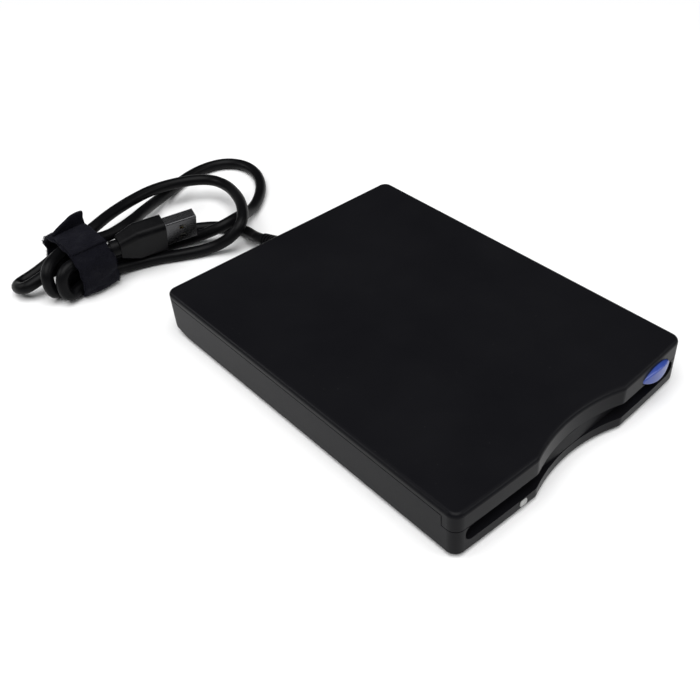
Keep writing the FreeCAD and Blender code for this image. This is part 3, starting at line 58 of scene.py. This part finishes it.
# Cord
cord_diameter = 4.6
relief_x = -1.0
relief_z = 11.5
rear_y = 71.592
relief_length = 13.0
relief_droop = 14.0
route = [
    (0.6, 94.2, 4.7), (2.3, 103.2, 2.5), (0.6, 108.6, 2.4), (-4.2, 115.0, 2.4),
    (-11.5, 120.3, 2.4), (-22.0, 123.2, 2.4),
    (-38.0, 125.8, 2.5), (-47.0, 127.2, 3.9), (-56.5, 127.2, 3.9), (-65.0, 122.6, 3.8),
    (-75.2, 117.2, 2.5), (-75.2, 118.4, 14.2), (-64.8, 125.4, 14.6), (-55.5, 129.2, 13.0),
    (-45.5, 128.0, 10.4), (-33.5, 130.6, 10.6), (-20.0, 141.5, 6.8), (-5.6, 151.8, 3.0),
    (3.5, 156.4, 2.4), (12.0, 159.2, 2.4), (20.4, 159.9, 2.4), (28.6, 157.6, 2.4),
    (33.6, 151.4, 2.4), (34.6, 143.2, 2.4), (32.2, 134.6, 2.4), (27.0, 126.0, 2.4),
    (18.8, 118.0, 2.4), (10.8, 112.5, 3.6), (3.0, 107.0, 7.8), (-5.6, 106.0, 7.6),
    (-12.4, 111.8, 3.6), (-21.0, 116.0, 2.4), (-34.0, 119.4, 2.4), (-46.0, 121.3, 3.0),
    (-54.0, 121.0, 4.6), (-60.4, 121.6, 9.0), (-66.5, 124.8, 9.2),
    (-73.2, 126.2, 7.2), (-82.2, 126.0, 5.4), (-82.4, 135.2, 2.5), (-73.0, 135.0, 4.0),
    (-59.0, 134.6, 9.4), (-47.9, 135.4, 11.6), (-37.1, 141.4, 11.0), (-24.0, 146.0, 10.4),
    (-11.8, 147.6, 10.2), (1.2, 144.8, 9.6), (10.0, 139.0, 9.2), (12.2, 129.4, 9.4),
    (8.2, 114.6, 11.6), (2.6, 102.8, 12.8), (-3.2, 96.0, 11.4), (-8.6, 97.4, 6.8),
    (-14.2, 101.8, 3.1), (-23.0, 106.2, 2.4), (-33.5, 112.2, 2.4), (-42.6, 115.4, 2.4),
    (-50.8, 116.0, 4.1), (-62.4, 115.4, 4.4), (-72.4, 112.4, 2.5), (-71.6, 113.8, 13.6),
    (-60.6, 115.9, 14.2),
]
plug_tip = Vector((-16.6, 109.0, 12.9))
plug_turn = -11.0
plug_reach = 33.8               # from the tip of the shell to the cord's end in the neck
neck_run = 4.8                  # straight cord behind the neck

# Strap
strap_left = -65.8
strap_right = -51.2
strap_front = 110.0
strap_rear = 139.8
strap_height = 18.4
strap_thickness = 1.1
flap_start = 0.76               # share of the way round where the free end begins
flap_end = 0.575                # where it leaves the band
flap_leave = 0.7                # share of its own length that lies on the band
flap_low_rise = 1.2             # height of the free end at its left edge
flap_more_rise = 5.0            # what its right part stands higher
flap_full_rise_across = 0.62    # share of its width where it has its full height
flap_lift = 1.3                 # from the band's middle surface to the flap's
band_rows = 132
band_columns = 18
flap_rows = 34
flap_columns = 15
lowest_middle = 0.75            # lowest height of the band's middle surface
thread_count = 1500
thread_radius = 0.035

# Light
overhead_power = 42.0
strip_power = 5.0
surround_strength = 0.05
floor_size = 3.0                # metres, half its width
floor_drop = 0.0001             # metres, keeps it clear of the feet


class Signal:
    """A socket of a node tree that takes part in plain arithmetic."""

    def __init__(self, tree, socket):
        self.tree = tree
        self.socket = socket

    def feed(self, socket, value):
        if isinstance(value, Signal):
            self.tree.links.new(value.socket, socket)
        else:
            socket.default_value = value

    def node(self, kind, settings, inputs, output=0):
        """Adds any node, sets it up and returns one of its outputs."""
        made = self.tree.nodes.new(kind)
        for name, value in settings.items():
            setattr(made, name, value)
        for place, value in inputs.items():
            self.feed(made.inputs[place], value)
        return Signal(self.tree, made.outputs[output])

    def maths(self, operation, other):
        return self.node("ShaderNodeMath", {"operation": operation}, {0: self, 1: other})

    def __add__(self, other):
        return self.maths("ADD", other)

    def __sub__(self, other):
        return self.maths("SUBTRACT", other)

    def __mul__(self, other):
        return self.maths("MULTIPLY", other)

    def above(self, edge, softness):
        """0 below the edge, 1 above it, with a soft step between."""
        return self.node("ShaderNodeMapRange", {"interpolation_type": "SMOOTHSTEP"},
                         {0: self, 1: edge - softness, 2: edge + softness})

    def mix(self, low, high):
        """Colour between low and high by this factor."""
        return self.node("ShaderNodeMix", {"data_type": "RGBA"}, {0: self, 6: low, 7: high}, 2)

    def stretched(self, scale):
        return self.node("ShaderNodeMapping", {}, {0: self, 3: scale})

    def grain(self, size, detail=2.0, roughness=0.5):
        """Soft noise whose features are about this many millimetres wide."""
        return self.node("ShaderNodeTexNoise", {}, {"Vector": self, "Scale": 1 / (size * mm), "Detail": detail,
                                                    "Roughness": roughness})

    def cells(self, size, feature="F1"):
        return self.node("ShaderNodeTexVoronoi", {"feature": feature},
                         {"Vector": self, "Scale": 1 / (size * mm)})

    def bump(self, depth, strength):
        """Normal from this height, with the depth in millimetres."""
        return self.node("ShaderNodeBump", {}, {"Strength": strength, "Distance": depth * mm, "Height": self})


def rgba(red, green, blue):
    return (red, green, blue, 1.0)


class Finish:
    """A material with its main shader and the object's own coordinates."""

    def __init__(self, name, **constants):
        self.material = bpy.data.materials.new(name)
        self.material.use_nodes = True
        self.tree = self.material.node_tree
        self.shader = self.tree.nodes["Principled BSDF"]
        for socket, value in constants.items():
            self.shader.inputs[socket.replace("_", " ")].default_value = value
        coordinates = self.tree.nodes.new("ShaderNodeTexCoord")
        self.place = Signal(self.tree, coordinates.outputs["Object"])

    def set(self, **signals):
        for socket, value in signals.items():
            value.feed(self.shader.inputs[socket.replace("_", " ")], value)
        return self.material


def moulded_case(name, dark, light, roughness):
    """Black moulded plastic with a fine spark-eroded texture, rub marks and a little dust."""
    finish = Finish(name, Specular_IOR_Level=0.06)
    place = finish.place
    texture = place.grain(0.28, 3.0, 0.6)
    patches = place.grain(26.0, 3.0)
    rubs = place.stretched((1.0, 0.06, 1.0)).grain(0.45, 2.0).above(0.72, 0.05)
    specks = place.grain(0.75, 1.0).above(0.79, 0.02)
    tone = (patches * 0.8 + rubs * 0.35).mix(dark, light)
    colour = (specks * 0.5).mix(tone, rgba(0.05, 0.05, 0.05))
    rough = patches * 0.12 + rubs * 0.06 + (roughness - 0.06)
    return finish.set(Base_Color=colour, Roughness=rough, Normal=texture.bump(0.02, 0.5))


def tinted_button():
    """Blue moulded button, slightly cloudy, with a fine texture."""
    finish = Finish("button_blue", Specular_IOR_Level=0.5, Coat_Weight=0.15, Coat_Roughness=0.25)
    cloud = finish.place.grain(3.0, 3.0)
    colour = cloud.mix(rgba(0.022, 0.045, 0.24), rgba(0.04, 0.08, 0.34))
    return finish.set(Base_Color=colour, Roughness=cloud * 0.1 + 0.3,
                      Normal=finish.place.grain(0.3, 2.0).bump(0.015, 0.4))


def clear_lens():
    """Milky clear light pipe."""
    finish = Finish("lamp_clear", Transmission_Weight=0.35, IOR=1.5)
    cloud = finish.place.grain(0.8, 2.0)
    return finish.set(Base_Color=cloud.mix(rgba(0.42, 0.43, 0.42), rgba(0.6, 0.61, 0.6)),
                      Roughness=cloud * 0.1 + 0.2)


def cord_jacket(name, depth):
    """Soft black cable jacket: satin, with faint extrusion waves, scuffs and lint."""
    finish = Finish(name, Specular_IOR_Level=0.08)
    place = finish.place
    waves = place.grain(7.0, 2.0)
    scuffs = place.grain(1.6, 4.0, 0.65).above(0.66, 0.08)
    lint = place.grain(0.5, 1.0).above(0.78, 0.02)
    tone = (waves * 0.6 + scuffs * 0.4).mix(rgba(0.0016, 0.0016, 0.002), rgba(0.0065, 0.0065, 0.0072))
    colour = (lint * 0.4).mix(tone, rgba(0.05, 0.05, 0.05))
    skin = place.grain(0.35, 3.0) + waves * 2.0
    return finish.set(Base_Color=colour, Roughness=waves * 0.1 + scuffs * 0.12 + 0.34,
                      Normal=skin.bump(depth, 0.45))


def looped_pile():
    """Hook-and-loop fabric: a mat of tiny dark loops with a soft sheen."""
    finish = Finish("strap_fabric", Specular_IOR_Level=0.1, Sheen_Weight=0.06, Sheen_Roughness=0.4,
                    Sheen_Tint=rgba(0.45, 0.46, 0.6))
    place = finish.place
    loops = place.cells(0.42)
    tufts = place.grain(1.3, 3.0, 0.7)
    rubbed = place.grain(5.0, 2.0).above(0.6, 0.12)
    tone = tufts.mix(rgba(0.001, 0.001, 0.0028), rgba(0.0055, 0.0055, 0.0095))
    colour = (rubbed * 0.4).mix(tone, rgba(0.012, 0.012, 0.016))
    return finish.set(Base_Color=colour, Roughness=tufts * 0.15 + 0.8, Normal=(tufts - loops).bump(0.3, 0.9))


def loose_thread():
    """Single dull threads that stand up from the pile."""
    finish = Finish("strap_thread", Specular_IOR_Level=0.05)
    tufts = finish.place.grain(1.3, 3.0, 0.7)
    return finish.set(Base_Color=tufts.mix(rgba(0.0015, 0.0015, 0.004), rgba(0.012, 0.012, 0.02)),
                      Roughness=tufts * 0.1 + 0.85)


def shell_with_painted_shade():
    """Plated plug shell, evenly dull, with fine rubbed lines. Its base colour is darkened throughout as
    painted shade for the dark reflections on its faces.
    """
    finish = Finish("shell_painted_shade", Metallic=1.0)
    lines = finish.place.stretched((0.08, 1.0, 1.0)).grain(0.16, 2.0)
    return finish.set(Base_Color=lines.mix(rgba(0.06, 0.06, 0.062), rgba(0.1, 0.1, 0.105)),
                      Roughness=lines * 0.12 + 0.22, Normal=lines.bump(0.01, 0.2))


def plated(name, colour, roughness):
    """Bright plated steel with fine rubbed lines and a few stains."""
    finish = Finish(name, Metallic=1.0)
    place = finish.place
    lines = place.stretched((0.08, 1.0, 1.0)).grain(0.16, 2.0)
    stains = place.grain(3.5, 4.0, 0.6)
    dull = [0.8 * part for part in colour]
    tone = stains.above(0.62, 0.2).mix(rgba(*colour), rgba(*dull))
    return finish.set(Base_Color=tone, Roughness=lines * 0.14 + stains * 0.12 + (roughness - 0.1),
                      Normal=lines.bump(0.01, 0.25))


def pressed_sheet(name, colour, roughness):
    """Rolled zinc-plated sheet: directional rolling marks and a grey mottle."""
    finish = Finish(name, Metallic=1.0)
    place = finish.place
    rolled = place.stretched((1.0, 0.05, 1.0)).grain(0.3, 3.0)
    mottle = place.cells(4.0)
    dull = [0.75 * part for part in colour]
    return finish.set(Base_Color=mottle.mix(rgba(*colour), rgba(*dull)), Roughness=rolled * 0.2 + roughness,
                      Normal=rolled.bump(0.012, 0.3))


def circuit_board():
    """Green solder mask over copper tracks."""
    finish = Finish("board_green", Specular_IOR_Level=0.5, Coat_Weight=0.3, Coat_Roughness=0.2)
    place = finish.place
    tracks = place.cells(2.6, "DISTANCE_TO_EDGE").above(0.1, 0.02)
    weave = place.grain(0.6, 2.0)
    tone = tracks.mix(rgba(0.03, 0.17, 0.07), rgba(0.012, 0.085, 0.035))
    return finish.set(Base_Color=tone, Roughness=weave * 0.15 + 0.3, Normal=tracks.bump(-0.03, 0.5))


def wound_copper():
    """Fine enamelled wire in close turns."""
    finish = Finish("copper", Metallic=1.0)
    turns = finish.place.node("ShaderNodeTexWave", {"bands_direction": "Z"},
                              {"Vector": finish.place, "Scale": 900.0, "Distortion": 0.6})
    return finish.set(Base_Color=turns.mix(rgba(0.32, 0.11, 0.04), rgba(0.72, 0.32, 0.14)),
                      Roughness=turns * 0.15 + 0.25, Normal=turns.bump(0.08, 0.6))


def plain_moulding(name, dark, light, roughness, **constants):
    """Untextured inner moulding with faint flow marks."""
    finish = Finish(name, **constants)
    flow = finish.place.stretched((1.0, 0.4, 1.0)).grain(4.0, 3.0)
    return finish.set(Base_Color=flow.mix(dark, light), Roughness=flow * 0.14 + (roughness - 0.07),
                      Normal=finish.place.grain(0.4, 2.0).bump(0.012, 0.3))


def film():
    """Amber film with darker conductors running along it."""
    finish = Finish("flex_amber", Coat_Weight=0.4, Coat_Roughness=0.15)
    tracks = finish.place.node("ShaderNodeTexWave", {"bands_direction": "X"},
                               {"Vector": finish.place, "Scale": 320.0, "Distortion": 0.0})
    return finish.set(Base_Color=tracks.mix(rgba(0.3, 0.11, 0.015), rgba(0.55, 0.25, 0.05)),
                      Roughness=tracks * 0.1 + 0.28, Normal=tracks.bump(0.03, 0.4))


def make_finishes():
    """Every finish, by its slot in the record or by the piece that it is kept for."""
    black = rgba(0.0042, 0.0042, 0.0054)
    grey = rgba(0.0085, 0.0085, 0.0098)
    return {
        "case_plastic": moulded_case("case_plastic", black, grey, 0.32),
        "door_plastic": plain_moulding("door_plastic", black, grey, 0.5, Specular_IOR_Level=0.08),
        "button_blue": tinted_button(),
        "lamp_clear": clear_lens(),
        "board_green": circuit_board(),
        "steel_sheet": pressed_sheet("steel_sheet", (0.62, 0.63, 0.64), 0.28),
        "steel_black": pressed_sheet("steel_black", (0.07, 0.07, 0.075), 0.35),
        "steel_bright": plated("steel_bright", (0.34, 0.34, 0.33), 0.2),
        "copper": wound_copper(),
        "bronze": pressed_sheet("bronze", (0.6, 0.42, 0.2), 0.35),
        "magnet_dark": plain_moulding("magnet_dark", rgba(0.03, 0.03, 0.033), rgba(0.06, 0.06, 0.063), 0.7),
        "inner_plastic": plain_moulding("inner_plastic", rgba(0.014, 0.014, 0.015), rgba(0.03, 0.03, 0.032),
                                        0.5),
        "inner_white": plain_moulding("inner_white", rgba(0.62, 0.61, 0.56), rgba(0.74, 0.73, 0.68), 0.42),
        "flex_amber": film(),
        "cord_rubber": cord_jacket("cord_rubber", 0.03),
        "strap_fabric": looped_pile(),
        "strap_thread": loose_thread(),
        # Darkened plated steel for the plug shell: painted shade for its dark reflections.
        "shell_painted_shade": shell_with_painted_shade(),
        "foot_rubber": plain_moulding("foot_rubber", rgba(0.01, 0.01, 0.01), rgba(0.025, 0.025, 0.025),
                                      0.85),
        "gold": plated("gold", (0.9, 0.62, 0.22), 0.22),
    }


def dress_nodes(finishes):
    """Gives each kept node of the frame its finish."""
    for entry in frame["record"]["subparts"]:
        made = nodes[entry["node"]]
        made.data.materials.clear()
        # The plug shell takes a darkened copy of plated steel: painted shade for the dark reflections on its
        # faces.
        slot = "shell_painted_shade" if entry["node"] == "plug_shell" else entry["material_slot"]
        made.data.materials.append(finishes[slot])


def make_camera():
    """Camera at the photograph's viewing angle."""
    azimuth = math.radians(camera_azimuth)
    elevation = math.radians(camera_elevation)
    roll = math.radians(camera_roll)
    back = Vector((math.sin(azimuth) * math.cos(elevation), -math.cos(azimuth) * math.cos(elevation),
                   math.sin(elevation)))
    level = Vector((0, 0, 1)).cross(back).normalized()
    upright = back.cross(level)
    right = math.cos(roll) * level + math.sin(roll) * upright
    up = math.cos(roll) * upright - math.sin(roll) * level
    data = bpy.data.cameras.new("camera")
    data.sensor_width = sensor_width
    data.lens = focal_pixels / image_size * sensor_width
    data.shift_x = (image_size / 2 - centre_pixel[0]) / image_size
    data.shift_y = (centre_pixel[1] - image_size / 2) / image_size
    data.clip_start = 0.01
    camera = bpy.data.objects.new("camera", data)
    bpy.context.collection.objects.link(camera)
    camera.matrix_world = Matrix.Translation(camera_place) @ Matrix((right, up, back)).transposed().to_4x4()
    bpy.context.scene.camera = camera


def relief_point(along):
    """Point on the boot's drooping axis, this far behind the rear face."""
    droop = math.radians(relief_droop)
    return Vector((relief_x, rear_y, relief_z)) + Vector((0, math.cos(droop), -math.sin(droop))) * along


def plug_point(back):
    """Point on the plug's axis, this far back from its tip."""
    turn = math.radians(plug_turn)
    return plug_tip - Vector((math.cos(turn), math.sin(turn), 0)) * back


def cord_points():
    """The whole cord's route, from the boot to the plug's neck."""
    points = [relief_point(relief_length), relief_point(relief_length + cord_diameter)]
    points.extend(Vector(place) for place in route)
    points.append(plug_point(plug_reach + neck_run))
    points.append(plug_point(plug_reach))
    return points


def make_cord(finishes):
    """The cord as one smooth curve."""
    points = cord_points()
    data = bpy.data.curves.new("cord", "CURVE")
    data.dimensions = "3D"
    data.bevel_depth = cord_diameter / 2 * mm
    data.bevel_resolution = 6
    data.resolution_u = 12
    data.use_fill_caps = True
    spline = data.splines.new("NURBS")
    spline.points.add(len(points) - 1)
    for control, place in zip(spline.points, points):
        control.co = (*(place * mm), 1.0)
    spline.order_u = 3
    spline.use_endpoint_u = True
    data.materials.append(finishes["cord_rubber"])
    cord = bpy.data.objects.new("cord", data)
    bpy.context.collection.objects.link(cord)
    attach(cord, "case")
    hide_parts("cord_lead", "cord_hank")
    return cord


def strap_outline():
    """Corners of the band round the bundle, (y, z), seen along X."""
    return [(strap_front + 2.0, 0.5), (strap_rear - 8.5, 0.5), (strap_rear - 1.0, 2.6), (strap_rear, 9.5),
            (strap_rear - 4.0, strap_height - 1.2), (strap_rear - 14.0, strap_height),
            (strap_front + 6.0, strap_height), (strap_front, strap_height - 3.5), (strap_front - 0.2, 6.0)]


def band_point(turn):
    """Point (y, z) at this share of the way round the band, on a smooth closed curve."""
    corners = strap_outline()
    count = len(corners)
    place = (turn % 1.0) * count
    index = int(place)
    part = place - index
    before, here, after = corners[index - 1], corners[index], corners[(index + 1) % count]
    weights = (0.5 * (1 - part) ** 2, 0.5 + part - part ** 2, 0.5 * part ** 2)
    y = weights[0] * before[0] + weights[1] * here[0] + weights[2] * after[0]
    z = weights[0] * before[1] + weights[1] * here[1] + weights[2] * after[1]
    return Vector((y, z))


def band_frame(turn):
    """Point and outward normal at this share of the way round."""
    here = band_point(turn)
    along = band_point(turn + 0.004) - band_point(turn - 0.004)
    along.normalize()
    return here, Vector((along.y, -along.x))


def band_vertex(turn, across, lift):
    """Point of the band's outer face. across runs from 0 at its left edge to 1."""
    here, outward = band_frame(turn)
    crease = noise.noise(Vector((turn * 13.0, across * 1.4, 3.0)))
    dents = noise.noise(Vector((turn * 26.0, across * 4.0, 9.0)))
    crown = math.sin(math.pi * across) * 0.5
    swell = crown + crease * 0.9 + dents * 0.35 + lift
    edge = noise.noise(Vector((turn * 17.0, 0.0, across * 2.0 + 20.0))) * 0.9
    x = strap_left + (strap_right - strap_left) * across + edge
    y = here.x + outward.x * swell
    z = max(here.y + outward.y * swell, lowest_middle)
    return Vector((x, y, z)) * mm


def grid_faces(rows, columns, closed, first):
    """Faces of a grid of points, closed round or open."""
    faces = []
    for row in range(rows if closed else rows - 1):
        for column in range(columns - 1):
            low = first + row * columns + column
            high = first + (row + 1) % rows * columns + column
            faces.append((low, low + 1, high + 1, high))
    return faces


def flap_vertex(share, across):
    """Point of the free end: it follows the band over the top and then stands up, more at its right."""
    along = min(share / flap_leave, 1.0)
    turn = flap_start + (flap_end - flap_start) * along
    here, outward = band_frame(turn)
    rise = max(share - flap_leave, 0.0) / (1 - flap_leave)
    height = rise * (flap_low_rise + flap_more_rise * min(across / flap_full_rise_across, 1.0))
    lift = flap_lift + noise.noise(Vector((share * 5.0, across * 2.0, 31.0))) * 0.35
    ripple = noise.noise(Vector((share * 4.0, across * 3.0, 55.0))) * 0.8 * rise
    y = here.x + outward.x * lift - rise * 1.0 + ripple
    z = here.y + outward.y * lift + height
    ragged = noise.noise(Vector((share * 9.0, across * 2.0, 40.0))) * 0.5
    x = strap_left + 0.6 + (strap_right - strap_left - 1.0) * across + ragged
    return Vector((x, y, z)) * mm


def make_strap(finishes):
    """Wrinkled hook-and-loop band with its overlapping free end."""
    vertices = []
    for row in range(band_rows):
        for column in range(band_columns):
            vertices.append(band_vertex(row / band_rows, column / (band_columns - 1), 0.0))
    faces = grid_faces(band_rows, band_columns, True, 0)
    first = len(vertices)
    for row in range(flap_rows):
        for column in range(flap_columns):
            vertices.append(flap_vertex(row / (flap_rows - 1), column / (flap_columns - 1)))
    faces.extend(grid_faces(flap_rows, flap_columns, False, first))
    mesh = bpy.data.meshes.new("strap")
    mesh.from_pydata(vertices, [], faces)
    mesh.shade_smooth()
    mesh.materials.append(finishes["strap_fabric"])
    strap = bpy.data.objects.new("strap", mesh)
    bpy.context.collection.objects.link(strap)
    thick = strap.modifiers.new("thickness", "SOLIDIFY")
    thick.thickness = strap_thickness * mm
    thick.offset = 0.0
    thick.use_even_offset = True
    smooth = strap.modifiers.new("smooth", "SUBSURF")
    smooth.levels = 1
    smooth.render_levels = 1
    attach(strap, "case")
    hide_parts("cable_strap")
    return strap


def make_pile(finishes):
    """Tiny loops of thread that stand up from the strap's face and edges."""
    dice = random.Random(11)
    data = bpy.data.curves.new("strap_pile", "CURVE")
    data.dimensions = "3D"
    data.bevel_depth = thread_radius * mm
    data.bevel_resolution = 0
    for _ in range(thread_count):
        turn = dice.random()
        across = dice.choice([dice.random(), dice.choice([0.0, 0.97]) + dice.uniform(0.0, 0.03)])
        foot = band_vertex(turn, across, strap_thickness / 2 - 0.1)
        outward = band_frame(turn)[1]
        side = (across - 0.5) * dice.uniform(0.0, 1.6)
        up = Vector((side, outward.x, outward.y)).normalized() * dice.uniform(0.2, 0.45) * mm
        lean = Vector(tuple(dice.uniform(-0.3, 0.3) for _ in range(3))) * mm
        spline = data.splines.new("POLY")
        spline.points.add(3)
        for control, place in zip(spline.points, [foot, foot + up, foot + up + lean, foot + lean]):
            control.co = (place.x, place.y, max(place.z, 0.1 * mm), 1.0)
    data.materials.append(finishes["strap_thread"])
    pile = bpy.data.objects.new("strap_pile", data)
    bpy.context.collection.objects.link(pile)
    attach(pile, "case")
    return pile


def make_floor():
    """Plain pale floor."""
    half = floor_size
    mesh = bpy.data.meshes.new("floor")
    corners = [(-half, -half, 0), (half, -half, 0), (half, half, 0), (-half, half, 0)]
    mesh.from_pydata(corners, [], [(0, 1, 2, 3)])
    finish = Finish("floor", Specular_IOR_Level=0.2)
    cloud = finish.place.grain(300.0, 2.0)
    material = finish.set(Base_Color=cloud.mix(rgba(0.9, 0.9, 0.9), rgba(0.92, 0.92, 0.92)),
                          Roughness=cloud * 0.1 + 0.85)
    mesh.materials.append(material)
    floor = bpy.data.objects.new("floor", mesh)
    bpy.context.collection.objects.link(floor)
    floor.location.z = -floor_drop


def area_light(name, place, target, size, power):
    data = bpy.data.lights.new(name, "AREA")
    data.shape = "RECTANGLE"
    data.size = size[0]
    data.size_y = size[1]
    data.energy = power
    light = bpy.data.objects.new(name, data)
    bpy.context.collection.objects.link(light)
    light.location = place
    light.rotation_euler = (Vector(target) - Vector(place)).to_track_quat("-Z", "Y").to_euler()


def make_light():
    """Soft overhead light, two side strips for the edges and a dim surround."""
    area_light("overhead", (-0.35, -0.3, 1.7), (0, 0, 0), (1.7, 1.7), overhead_power)
    area_light("left_strip", (-0.9, 0.9, 0.75), (0, 0, 0), (0.9, 0.3), strip_power)
    area_light("front_strip", (0.75, -0.95, 0.8), (0, 0, 0), (0.9, 0.3), strip_power)
    world = bpy.data.worlds.new("surround")
    world.use_nodes = True
    backdrop = world.node_tree.nodes["Background"]
    backdrop.inputs["Color"].default_value = rgba(0.8, 0.82, 0.86)
    backdrop.inputs["Strength"].default_value = surround_strength
    bpy.context.scene.world = world
    bpy.context.scene.view_settings.view_transform = "Standard"


make_camera()
finishes = make_finishes()
cord = make_cord(finishes)
dress_nodes(finishes)
strap = make_strap(finishes)
pile = make_pile(finishes)
make_floor()
make_light()
